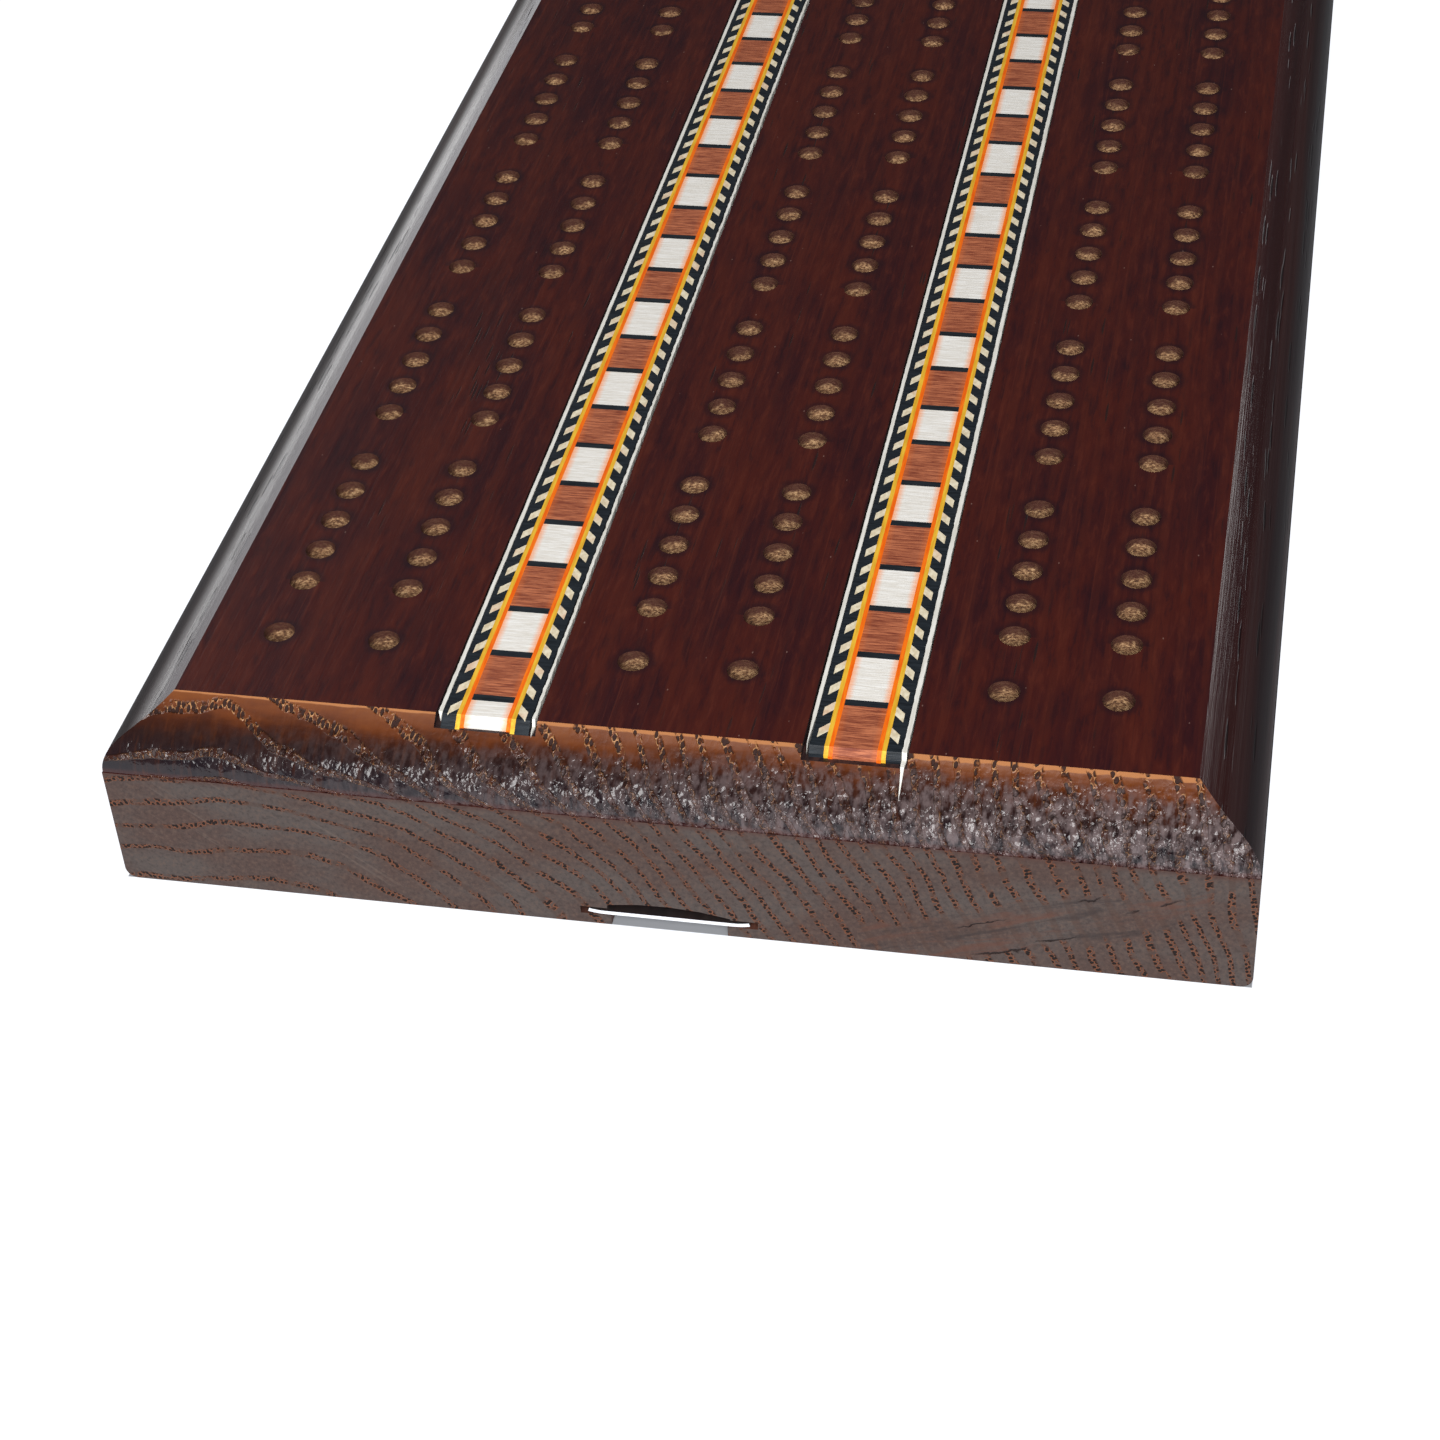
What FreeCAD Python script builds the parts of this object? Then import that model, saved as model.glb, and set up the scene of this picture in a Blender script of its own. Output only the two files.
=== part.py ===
"""Three-track cribbage board with two marquetry strips and a peg compartment.

Millimetres. The origin is on the table at the centre of the underside, +Y runs along the
board, +Z is up. The compartment's slide cover comes out at the -Y end.
"""
import FreeCAD, Part
import math
import os
import random

V = FreeCAD.Vector

# --- board -----------------------------------------------------------------
WIDTH = 107.4
THICKNESS = 19.0
BEVEL_WIDTH = 6.1            # moulded edge, measured inwards from the sides
COVE_START = 40.0            # slope in degrees where the moulding leaves the top
COVE_END = 24.0              # slope where the hollow part meets the nose
NOSE_RADIUS = 3.4
LIP_DROP = 5.77              # the moulding stops in a fine step this far below the top
LIP_STEP = 0.08              # how far the plain sides stand out beyond it
FOOT_RADIUS = 1.2            # rounding of the two long bottom edges

# --- peg holes -------------------------------------------------------------
TRACK_PITCH = 34.8
TRACK_SHIFT = -0.38          # the three tracks sit slightly off the centre line
ROW_GAP = 10.45              # between the two rows of a track
END_INSET = 15.85            # end face to the single hole at each end of a row
SINGLE_GAP = 8.25            # single hole to the first hole of a group
HOLE_PITCH = 5.12
GROUP_GAP = 9.17             # last hole of a group to the first of the next
HOLES_PER_GROUP = 5
GROUPS = 12
HOLE_RADIUS = 1.5
HOLE_DEPTH = 8.0             # parallel part, above the drill's cone
DRILL_POINT = 118.0          # included angle in degrees

# --- marquetry strips: lines from the outside of a strip to its middle ------
STRIP_CENTRES = {"left": -17.3, "right": 17.0}
STRIP_DEPTH = 0.9
GLUE_GAP = 0.15              # between a strip and each wall of its groove
WHITE_LINE = 0.5
BLACK_LINE = 0.48
SLAT_WIDTH = 0.88
YELLOW_LINE = 0.42
ORANGE_LINE = 0.4
TILE_HALF = 2.0
SLAT_PITCH = 3.05
SLAT_HEIGHT = 1.25           # of one slanted slat, along the strip
SLAT_RISE = 0.95             # how far a slat climbs across its width
TILE_PITCH = 7.0             # one tile and one black bar
TILE_SCATTER = 0.35          # the bars wander by up to this much
BAR_THICKNESS = 0.87
FIRST_BAR = {"left": 2.3, "right": 6.4}   # from the moulding's upper edge to the first bar
FIRST_SLAT = {"left": 0.95, "right": 2.2}
# how far each line runs out over the moulding, from its upper edge
RUN_OUT = {
    "left": {"white": 0.85, "black": 1.16, "yellow": 1.12, "orange": 0.9, "tile": 0.85},
    "right": {"white": 0.9, "black": 0.62, "yellow": 0.66, "orange": 0.72, "tile": 0.64},
}

# --- peg compartment under the middle track ---------------------------------
POCKET_START = 10.0          # from the end face
POCKET_LENGTH = 120.0
POCKET_WIDTH = 11.1
POCKET_TOP = 9.0             # height of its ceiling above the table
KERF_WIDTH = 16.9            # T-slot that holds the cover's edges
KERF_BOTTOM = 1.15
KERF_TOP = 2.0
THROAT_WIDTH = 11.7          # relief above the cover at the end face
THROAT_LEFT = 2.45           # its arched ceiling: height at each side and at the crown
THROAT_RIGHT = 2.15
THROAT_CROWN = 2.9
CROWN_SHIFT = -1.4           # the crown is a little left of the middle

# --- slide cover -------------------------------------------------------------
COVER_WIDTH = 15.4
COVER_THICKNESS = 0.4
COVER_GAP = 0.1              # above the T-slot's ledges
CURL_WIDTH = 1.6             # each long edge curls up over this width
CURL_RISE = 0.2
GRIP_INSET = 7.0             # pressed thumb grip, from the cover's end
GRIP_RADIUS = 3.5
GRIP_DEPTH = 0.5             # how far it stands down from the plate

# --- pegs --------------------------------------------------------------------
PEG_COLOURS = ("brass", "steel", "black")
PEGS_PER_COLOUR = 3
PEG_LENGTH = 26.0
PEG_RADIUS = 1.65            # of the turned head
PEG_NECK_RADIUS = 1.1
PEG_SHANK_RADIUS = 1.4       # just below the head, a loose fit in a hole
PEG_TIP_RADIUS = 1.05
PEG_TIP = 0.6                # length of the blunt tip's chamfer
PEG_SHOULDER = 0.4           # chamfer from the shank up to the head's collar
PEG_COLLAR = 1.2             # length of the collar
PEG_FLARE = 1.0              # cone on each side of the neck
PEG_NECK = 1.2               # length of the neck
PEG_GRIP = 3.6               # length of the head beyond the neck
PEG_CROWN = 1.0              # height of the domed end
LANE_PITCH = 3.6
PEG_GAP = 3.2                # between one peg and the next along a lane
FIRST_PEG = 4.6              # from the compartment's end wall
PEG_CLEARANCE = 0.15         # above the cover's curled-up edges

# --- derived -----------------------------------------------------------------
GROUP_PITCH = (HOLES_PER_GROUP - 1) * HOLE_PITCH + GROUP_GAP
LENGTH = 2 * (END_INSET + SINGLE_GAP) + GROUPS * GROUP_PITCH - GROUP_GAP
NEAR_END = -LENGTH / 2
POCKET_CENTRE = NEAR_END + POCKET_START + POCKET_LENGTH - POCKET_WIDTH / 2
COVER_FLOOR = KERF_BOTTOM + COVER_GAP
STRIP_HALF = TILE_HALF + ORANGE_LINE + YELLOW_LINE + SLAT_WIDTH + BLACK_LINE + WHITE_LINE
STRIP_FLOOR = THICKNESS - STRIP_DEPTH
ARRIS = LENGTH / 2 - BEVEL_WIDTH   # distance from the middle to the moulding's upper edge


def prism(outline, direction):
    """Extrude a closed wire, given as edges, along a vector."""
    return Part.Face(Part.Wire(outline)).extrude(direction)


def polygon(points):
    """Straight edges round a closed outline."""
    closed = points + points[:1]
    return [Part.makeLine(a, b) for a, b in zip(closed, closed[1:])]


def box(x0, x1, y0, y1, z0, z1):
    return Part.makeBox(x1 - x0, y1 - y0, z1 - z0, V(x0, y0, z0))


def edge_profile(half):
    """Right-hand side of a cross-section, bottom to top, as (across, up) edges.

    Foot rounding, plain side, lip, nose arc, then the cove up to the top face.
    """
    start, end = math.radians(COVE_START), math.radians(COVE_END)
    nose_run = NOSE_RADIUS * (1 - math.sin(end))
    nose_drop = NOSE_RADIUS * math.cos(end)
    nose_x = half - LIP_STEP
    cove_run = BEVEL_WIDTH - LIP_STEP - nose_run
    cove_drop = cove_run * math.tan((start + end) / 2)
    top = V(half - BEVEL_WIDTH, 0, THICKNESS)
    cove_foot = V(nose_x - nose_run, 0, THICKNESS - cove_drop)
    nose_foot = V(nose_x, 0, cove_foot.z - nose_drop)
    chord = cove_foot - top
    sag = chord.Length / 2 * math.tan((start - end) / 4)
    hollow = (top + cove_foot) / 2 + V(chord.z, 0, -chord.x).normalize() * sag
    nose_turn = (math.pi / 2 - end) / 2
    nose_centre = V(nose_x - NOSE_RADIUS, 0, nose_foot.z)
    nose_mid = nose_centre + V(math.cos(nose_turn), 0, math.sin(nose_turn)) * NOSE_RADIUS
    lip_in, lip_out = V(nose_x, 0, THICKNESS - LIP_DROP), V(half, 0, THICKNESS - LIP_DROP)
    foot_centre = V(half - FOOT_RADIUS, 0, FOOT_RADIUS)
    foot_mid = foot_centre + V(1, 0, -1).normalize() * FOOT_RADIUS
    foot_low, foot_high = V(foot_centre.x, 0, 0), V(half, 0, FOOT_RADIUS)
    return [
        Part.Arc(foot_low, foot_mid, foot_high).toShape(),
        Part.makeLine(foot_high, lip_out),
        Part.makeLine(lip_out, lip_in),
        Part.makeLine(lip_in, nose_foot),
        Part.Arc(nose_foot, nose_mid, cove_foot).toShape(),
        Part.Arc(cove_foot, hollow, top).toShape(),
    ]


def moulded_bar(half, run):
    """A long bar along Y with the moulded section of half-width half and length run."""
    side = edge_profile(half)
    other = [edge.mirror(V(0, 0, 0), V(1, 0, 0)) for edge in side]
    top, foot = half - BEVEL_WIDTH, half - FOOT_RADIUS
    bridges = [
        Part.makeLine(V(-top, 0, THICKNESS), V(top, 0, THICKNESS)),
        Part.makeLine(V(-foot, 0, 0), V(foot, 0, 0)),
    ]
    ordered = Part.__sortEdges__(side + other + bridges)
    bar = prism(ordered, V(0, run, 0))
    bar.translate(V(0, -run / 2, 0))
    return bar


def lengthwise_envelope():
    """The board's outline seen from the side, far wider than the board, square at the foot."""
    bar = moulded_bar(LENGTH / 2, 2 * WIDTH)
    bar.rotate(V(0, 0, 0), V(0, 0, 1), 90)
    square_foot = box(-WIDTH, WIDTH, NEAR_END, -NEAR_END, 0, FOOT_RADIUS)
    return bar.fuse(square_foot).removeSplitter()


def blank():
    """Plank with the moulded edge all round; the corners mitre by themselves."""
    return moulded_bar(WIDTH / 2, 2 * LENGTH).common(lengthwise_envelope())


def row_positions():
    """Y of every hole in one row, near end to far end."""
    first = NEAR_END + END_INSET
    holes = [first, -first]
    for group in range(GROUPS):
        start = first + SINGLE_GAP + group * GROUP_PITCH
        holes += [start + i * HOLE_PITCH for i in range(HOLES_PER_GROUP)]
    return sorted(holes)


def column_positions():
    """X of the six rows, left to right."""
    centres = [TRACK_SHIFT + i * TRACK_PITCH for i in (-1, 0, 1)]
    return [c + side * ROW_GAP / 2 for c in centres for side in (-1, 1)]


def drill():
    """One peg hole with its cone, opening at the top face."""
    cone = HOLE_RADIUS / math.tan(math.radians(DRILL_POINT / 2))
    floor = THICKNESS - HOLE_DEPTH
    section = polygon([
        V(0, 0, floor - cone),
        V(HOLE_RADIUS, 0, floor),
        V(HOLE_RADIUS, 0, THICKNESS + 1),
        V(0, 0, THICKNESS + 1),
    ])
    return Part.Face(Part.Wire(section)).revolve(V(0, 0, 0), V(0, 0, 1), 360)


def slot(width, start, z0, z1):
    """A milled slot from start to the compartment's round inner end."""
    straight = box(-width / 2, width / 2, start, POCKET_CENTRE, z0, z1)
    round_end = Part.makeCylinder(width / 2, z1 - z0, V(0, POCKET_CENTRE, z0))
    return straight.fuse(round_end)


def pocket_cutters():
    """Everything milled out of the underside."""
    outside = NEAR_END - 1
    neck = slot(POCKET_WIDTH, outside, -1, KERF_BOTTOM)
    kerf = slot(KERF_WIDTH, outside, KERF_BOTTOM, KERF_TOP)
    pocket_near = NEAR_END + POCKET_START + POCKET_WIDTH / 2
    pocket = slot(POCKET_WIDTH, pocket_near, KERF_TOP, POCKET_TOP)
    near_round = Part.makeCylinder(POCKET_WIDTH / 2, POCKET_TOP - KERF_TOP, V(0, pocket_near, KERF_TOP))
    half = THROAT_WIDTH / 2
    low_left, low_right = V(-half, outside, KERF_TOP), V(half, outside, KERF_TOP)
    high_left, high_right = V(-half, outside, THROAT_LEFT), V(half, outside, THROAT_RIGHT)
    throat = prism([
        Part.makeLine(low_left, low_right),
        Part.makeLine(low_right, high_right),
        Part.Arc(high_right, V(CROWN_SHIFT, outside, THROAT_CROWN), high_left).toShape(),
        Part.makeLine(high_left, low_left),
    ], V(0, pocket_near - outside, 0))
    return [neck, kerf, pocket, near_round, throat]


def strip_groove(centre):
    """The groove a strip is glued into, open at both ends."""
    half = STRIP_HALF + GLUE_GAP
    return box(centre - half, centre + half, -LENGTH, LENGTH, STRIP_FLOOR, THICKNESS + 1)


def board():
    drills = []
    one = drill()
    for x in column_positions():
        for y in row_positions():
            hole = one.copy()
            hole.translate(V(x, y, 0))
            drills.append(hole)
    grooves = [strip_groove(centre) for centre in STRIP_CENTRES.values()]
    plank = blank().cut(pocket_cutters() + grooves)
    return plank.cut(drills).removeSplitter()


def trimmed(solids, envelope):
    """Cut the pieces that reach over the moulding back to its surface."""
    kept = []
    for solid in solids:
        bounds = solid.BoundBox
        if max(-bounds.YMin, bounds.YMax) > ARRIS:
            kept += solid.common(envelope).Solids
        else:
            kept.append(solid)
    return kept


def long_line(inner, outer, reach):
    """A pair of straight lines running the strip's length, one on each side of its middle."""
    top = THICKNESS
    return [
        box(-outer, -inner, -reach, reach, STRIP_FLOOR, top),
        box(inner, outer, -reach, reach, STRIP_FLOOR, top),
    ]


def slat_outline(edge, y, sign, reach):
    """Four corners of a slanted slat whose inner end touches the yellow line at edge.

    The corners stay within reach of the board's middle.
    """
    tip = edge + SLAT_WIDTH
    half = SLAT_HEIGHT / 2
    lean = SLAT_RISE / 2
    corners = [
        (edge, y + lean - half),
        (tip, y - lean - half),
        (tip, y - lean + half),
        (edge, y + lean + half),
    ]
    return [V(sign * x, max(-reach, min(reach, v)), STRIP_FLOOR) for x, v in corners]


def slat_positions(side):
    """Y of each cream slat's middle, starting at the near end."""
    first = -ARRIS + FIRST_SLAT[side] - SLAT_PITCH
    count = int((2 * ARRIS + 2 * BEVEL_WIDTH) / SLAT_PITCH)
    return [first + i * SLAT_PITCH for i in range(count)]


def slats(side, edge, reach):
    """The cream slats of both ropes of a strip, leaving out any that are cut away."""
    found = []
    lift = V(0, 0, STRIP_DEPTH)
    for y in slat_positions(side):
        if abs(y) + SLAT_HEIGHT / 2 < reach:
            found += [prism(polygon(slat_outline(edge, y, sign, reach)), lift) for sign in (-1, 1)]
    return found


def combs(side, edge, reach):
    """The black line and the black slats of each rope, as one toothed piece per rope."""
    back = edge + SLAT_WIDTH + BLACK_LINE
    pieces = []
    for sign in (-1, 1):
        points = [V(sign * back, -reach, STRIP_FLOOR), V(sign * edge, -reach, STRIP_FLOOR)]
        for y in slat_positions(side):
            if abs(y) + SLAT_HEIGHT / 2 < reach:
                points += slat_outline(edge, y, sign, reach)
        points += [V(sign * edge, reach, STRIP_FLOOR), V(sign * back, reach, STRIP_FLOOR)]
        pieces.append(prism(polygon(points), V(0, 0, STRIP_DEPTH)))
    return pieces


def bar_positions(side):
    """Y of each black bar's middle; real banding is glued up a little unevenly."""
    scatter = random.Random(side)
    count = int((2 * ARRIS) / TILE_PITCH) + 1
    first = -ARRIS + FIRST_BAR[side]
    spots = [first + i * TILE_PITCH + scatter.uniform(-TILE_SCATTER, TILE_SCATTER) for i in range(count)]
    return [y for y in spots if y < ARRIS]


def tiles_and_bars(side, reach):
    """White tiles, brown tiles and the black bars between them."""
    bars = bar_positions(side)
    half = BAR_THICKNESS / 2
    edges = [-reach] + [y + s * half for y in bars for s in (-1, 1)] + [reach]
    tiles = [
        box(-TILE_HALF, TILE_HALF, low, high, STRIP_FLOOR, THICKNESS)
        for low, high in zip(edges[0::2], edges[1::2])
    ]
    black = [box(-TILE_HALF, TILE_HALF, y - half, y + half, STRIP_FLOOR, THICKNESS) for y in bars]
    first_white = side == "left"
    white = tiles[0::2] if first_white else tiles[1::2]
    brown = tiles[1::2] if first_white else tiles[0::2]
    return white, brown, black


def strip(side, envelope):
    """All the pieces of one marquetry strip, by node name."""
    reach = {line: ARRIS + over for line, over in RUN_OUT[side].items()}
    orange = TILE_HALF + ORANGE_LINE
    yellow = orange + YELLOW_LINE
    black = yellow + SLAT_WIDTH + BLACK_LINE
    white_tiles, brown_tiles, bars = tiles_and_bars(side, reach["tile"])
    groups = {
        "white_tiles": white_tiles,
        "brown_tiles": brown_tiles,
        "black_bars": bars,
        "orange_lines": long_line(TILE_HALF, orange, reach["orange"]),
        "yellow_lines": long_line(orange, yellow, reach["yellow"]),
        "cream_slats": slats(side, yellow, reach["black"]),
        "black_combs": combs(side, yellow, reach["black"]),
        "white_lines": long_line(black, black + WHITE_LINE, reach["white"]),
    }
    nodes = {}
    for name, solids in groups.items():
        for solid in solids:
            solid.translate(V(STRIP_CENTRES[side], 0, 0))
        nodes[f"{side}_inlay_{name}"] = Part.makeCompound(trimmed(solids, envelope))
    return nodes


def cover_section():
    """Flat plate across X whose two long edges curl up along tangent arcs."""
    flat = COVER_WIDTH / 2 - CURL_WIDTH
    outer = (CURL_WIDTH ** 2 + CURL_RISE ** 2) / (2 * CURL_RISE)
    inner = outer - COVER_THICKNESS
    turn = math.asin(CURL_WIDTH / outer)
    centre = COVER_FLOOR + outer

    def on_curl(radius, share, sign):
        angle = share * turn
        return V(sign * (flat + radius * math.sin(angle)), 0, centre - radius * math.cos(angle))

    def curl(radius, sign):
        points = [on_curl(radius, share, sign) for share in (0, 0.5, 1)]
        return Part.Arc(*points).toShape()

    edges = [curl(radius, sign) for radius in (outer, inner) for sign in (-1, 1)]
    edges += [Part.makeLine(on_curl(radius, 0, -1), on_curl(radius, 0, 1)) for radius in (outer, inner)]
    edges += [Part.makeLine(on_curl(inner, 1, sign), on_curl(outer, 1, sign)) for sign in (-1, 1)]
    return Part.__sortEdges__(edges)


def slide_cover():
    """Thin metal plate with curled-up long edges, a round inner end and a pressed thumb grip."""
    half = COVER_WIDTH / 2
    sheet = prism(cover_section(), V(0, POCKET_CENTRE + half - NEAR_END, 0))
    sheet.translate(V(0, NEAR_END, 0))
    plan = box(-half, half, NEAR_END, POCKET_CENTRE, 0, KERF_TOP).fuse(
        Part.makeCylinder(half, KERF_TOP, V(0, POCKET_CENTRE, 0)))
    sheet = sheet.common(plan)
    ball = (GRIP_RADIUS ** 2 + GRIP_DEPTH ** 2) / (2 * GRIP_DEPTH)
    grip_y = NEAR_END + GRIP_INSET
    sunk = COVER_FLOOR - GRIP_DEPTH + ball
    outer = Part.makeSphere(ball, V(0, grip_y, sunk))
    inner = Part.makeSphere(ball, V(0, grip_y, sunk + COVER_THICKNESS))
    below = box(-half, half, grip_y - half, grip_y + half, 0, COVER_FLOOR + COVER_THICKNESS)
    return sheet.fuse(outer.common(below)).cut(inner)


def peg():
    """A turned peg along +Y, its tip at the origin and its head at the far end."""
    grip = PEG_LENGTH - PEG_GRIP
    neck_high = grip - PEG_FLARE
    neck_low = neck_high - PEG_NECK
    collar_high = neck_low - PEG_FLARE
    collar_low = collar_high - PEG_COLLAR
    points = [
        V(0, 0, 0),
        V(PEG_TIP_RADIUS, PEG_TIP, 0),
        V(PEG_SHANK_RADIUS, collar_low - PEG_SHOULDER, 0),
        V(PEG_RADIUS, collar_low, 0),
        V(PEG_RADIUS, collar_high, 0),
        V(PEG_NECK_RADIUS, neck_low, 0),
        V(PEG_NECK_RADIUS, neck_high, 0),
        V(PEG_RADIUS, grip, 0),
        V(PEG_RADIUS, PEG_LENGTH - PEG_CROWN, 0),
    ]
    edges = [Part.makeLine(a, b) for a, b in zip(points, points[1:])]
    ball = (PEG_RADIUS ** 2 + PEG_CROWN ** 2) / (2 * PEG_CROWN)
    turn = math.asin(PEG_RADIUS / ball) / 2
    crown = V(0, PEG_LENGTH, 0)
    shoulder = V(ball * math.sin(turn), PEG_LENGTH - ball * (1 - math.cos(turn)), 0)
    edges.append(Part.Arc(points[-1], shoulder, crown).toShape())
    edges.append(Part.makeLine(crown, points[0]))
    return Part.Face(Part.Wire(edges)).revolve(V(0, 0, 0), V(0, 1, 0), 360)


def pegs():
    """Nine pegs in three lanes on the cover, one colour to a lane."""
    cover_top = COVER_FLOOR + COVER_THICKNESS + CURL_RISE
    height = cover_top + PEG_CLEARANCE + PEG_RADIUS
    start = NEAR_END + POCKET_START + FIRST_PEG
    nodes = {}
    for lane, colour in enumerate(PEG_COLOURS):
        for place in range(PEGS_PER_COLOUR):
            one = peg()
            y = start + place * (PEG_LENGTH + PEG_GAP)
            one.translate(V((lane - 1) * LANE_PITCH, y, height))
            nodes[f"{colour}_peg_{place + 1}"] = one
    return nodes


def main():
    envelope = lengthwise_envelope()
    nodes = {"board": board(), "slide_cover": slide_cover()}
    for side in STRIP_CENTRES:
        nodes.update(strip(side, envelope))
    nodes.update(pegs())
    os.makedirs("parts", exist_ok=True)
    for name, shape in nodes.items():
        shape.exportStep(f"parts/{name}.step")


main()
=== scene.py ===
"""Looks of the cribbage board: materials, worn marquetry edges, camera and studio light.

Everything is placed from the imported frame. Lengths are metres, but millimetres in the materials.
"""
import math

import bpy
from mathutils import Matrix, Vector, noise
from mathutils.bvhtree import BVHTree


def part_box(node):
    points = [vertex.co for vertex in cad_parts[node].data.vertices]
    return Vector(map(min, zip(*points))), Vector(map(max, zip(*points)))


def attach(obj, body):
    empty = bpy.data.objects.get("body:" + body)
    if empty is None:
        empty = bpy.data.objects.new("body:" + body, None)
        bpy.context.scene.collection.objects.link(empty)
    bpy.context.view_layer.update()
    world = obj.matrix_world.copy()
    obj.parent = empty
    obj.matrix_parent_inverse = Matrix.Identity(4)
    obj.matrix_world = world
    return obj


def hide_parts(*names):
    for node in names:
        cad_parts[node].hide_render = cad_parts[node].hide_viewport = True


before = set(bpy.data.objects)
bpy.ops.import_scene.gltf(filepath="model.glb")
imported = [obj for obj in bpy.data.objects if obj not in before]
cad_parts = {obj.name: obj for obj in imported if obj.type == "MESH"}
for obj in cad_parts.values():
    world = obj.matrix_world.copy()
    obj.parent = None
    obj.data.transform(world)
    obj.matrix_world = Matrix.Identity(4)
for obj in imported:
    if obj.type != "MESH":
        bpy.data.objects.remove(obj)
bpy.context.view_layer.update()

MM = 0.001
TINY = 1e-6

# --- the board, read from the frame -------------------------------------------
LOW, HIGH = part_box("board")
TOP = HIGH.z
NEAR_END = LOW.y
HALF_LENGTH = HIGH.y
HALF_WIDTH = HIGH.x
SIDES = ("left", "right")
SQUARE_ON = 0.99             # part of a face's normal along the axis that it is square to
ENDWAYS = 0.9                # the same, for the cover's sheared ends, which carry a painted reflection
DOWNWARD = -0.5              # upward part of the normal, below which a face is underside


def flat_half(axis):
    """How far the flat top reaches from the middle, before the moulding starts."""
    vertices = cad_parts["board"].data.vertices
    return max(abs(v.co[axis]) for v in vertices if v.co.z > TOP - TINY)


FLAT_X, FLAT_Y = flat_half(0), flat_half(1)
STRIP_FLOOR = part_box("left_inlay_white_lines")[0].z
BEVEL_RUN = (HALF_LENGTH - FLAT_Y) / MM
LIP = TOP - 5.77 * MM        # where the moulding stops on the sides

# --- camera, seen from the near right corner -----------------------------------
CAMERA_AZIMUTH = 13.68
CAMERA_ELEVATION = 39.60
CAMERA_ROLL = -3.93
CAMERA_DISTANCE = 266.6 * MM
CAMERA_LENS = 73.16
CAMERA_SENSOR = 36.0
CAMERA_CLIP = 0.01
AIM = Vector((4.14 * MM, NEAR_END + 8.43 * MM, TOP))

# --- wood figure: growth rings round a pith below the near left corner -----------
PITH_X = -41.4
PITH_Z = -22.0
FINE_RING = 1.75             # ring width far from the pith
RING_OPENING = 15.0          # how fast the rings widen towards it
RING_CORE = 20.0
MOST_WIDENING = 0.25         # the widest ring is a fine ring divided by this
RING_WANDER = 9.0            # how far the rings bend from true circles
RING_JITTER = 0.5            # how far one ring's outline wavers
RING_SHIFT = 7.3             # sets each ring's vessels off against the next ring's
PORE_BAND = 0.72             # width of the porous part of a ring
PORE_PITCH = 0.5
PORE_SCATTER = 0.75          # 0 is a regular grid of vessels, 1 is fully scattered
SAW_LEAN = (0.62, 0.78)      # direction across the saw marks of an end face, in x and z
# shakes in a knot, on the end faces: x and z of the start, slope, length, half width
SHAKES = (
    (26.5, 3.6, 0.4, 5.5, 0.1),
    (41.5, 7.3, 0.44, 6.5, 0.17),
    (37.5, 8.3, 0.4, 2.8, 0.13),
    (27.5, 0.3, 0.34, 8.0, 0.18),
    (33.5, 2.9, 0.3, 5.0, 0.1),
)
KNOT = (32.0, 4.6, 0.3, 17.0, 3.2)   # x and z of its middle, slope, half length, half width

# --- peg holes, as drilled, in millimetres ------------------------------------------
TRACK_MIDDLE = -0.38         # x of the middle track
TRACK_PITCH = 34.8
ROW_OFFSET = 5.225           # from a track's middle to each of its two rows
HOLE_ROWS = [
    TRACK_MIDDLE + track * TRACK_PITCH + side * ROW_OFFSET
    for track in (-1, 0, 1)
    for side in (-1, 1)
]
HOLE_STEP = 5.12
GROUP_SIZE = 5
GROUP_STEP = (GROUP_SIZE - 1) * HOLE_STEP + 9.17
SINGLE_HOLE = HALF_LENGTH / MM - 15.85   # y of the lone hole at each end of a row
FIRST_GROUP = -SINGLE_HOLE + 8.25        # y of the nearest hole of the nearest group

# --- torn white lines --------------------------------------------------------------
WHITE_WIDTH = 0.5 * MM
SLIVER = 0.22 * MM           # thickness where a line runs out over the moulding
TEAR_STEP = 0.3 * MM
TEAR_ACROSS = 900            # how fast tearing changes over a metre, across the line
TEAR_ALONG = 1400            # and along it, for the edges
DRIFT_ALONG = 260            # and along it, for the line's middle
DRIFT = 0.6                  # how far the middle drifts, as a part of the edges' wander
TEAR_OCTAVES = 3
EDGE_LAYERS = (0.0, 9.0)     # layers of the noise that the two edges are torn by
DRIFT_LAYER = 4.0
BLUNT = 0.02 * MM            # keeps a point from closing to nothing
# for the left and right line of each strip, in millimetres: width, how far its edges wander,
# how far it runs out at the near and far end, and the length of its pointed near end
WHITE_LINES = {
    "left": ((0.36, 0.03, 0.1, 0.5, 0.3), (0.27, 0.09, 1.3, 0.4, 0.8)),
    "right": ((0.36, 0.03, 0.4, 0.6, 5.0), (0.42, 0.05, 3.9, 0.3, 3.4)),
}

# --- metal: how fine the drawn marks are on each axis --------------------------------
ROLLED_ALONG = (4.0, 0.1, 4.0)
TURNED_ROUND = (1.0, 9.0, 1.0)

# --- studio --------------------------------------------------------------------------
FLOOR_HALF = 6.0
FLOOR_GAP = 0.05 * MM        # keeps the sheet clear of the underside
FLOOR_GLOW = 0.97
SHADE_GLOW = 0.1             # glow of the thin shade at the board's foot
SHADE_START = (-2.4, -1.5)   # where the shade fades in, in millimetres outside the board
SHADE_END = (0.02, -0.12)    # and where it has faded out again
WORLD_COLOUR = (0.93, 0.96, 1.0, 1.0)
WORLD_STRENGTH = 0.09
# azimuth from the near end, elevation, distance, size and power of each light
LIGHTS = {
    "key": (10.0, 36.0, 1.0, 0.6, 14.5),
    "back_right": (141.0, 5.0, 1.5, 0.22, 0.9),
    "back_left": (-138.0, 10.0, 1.5, 0.5, 4.0),
}


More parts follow.
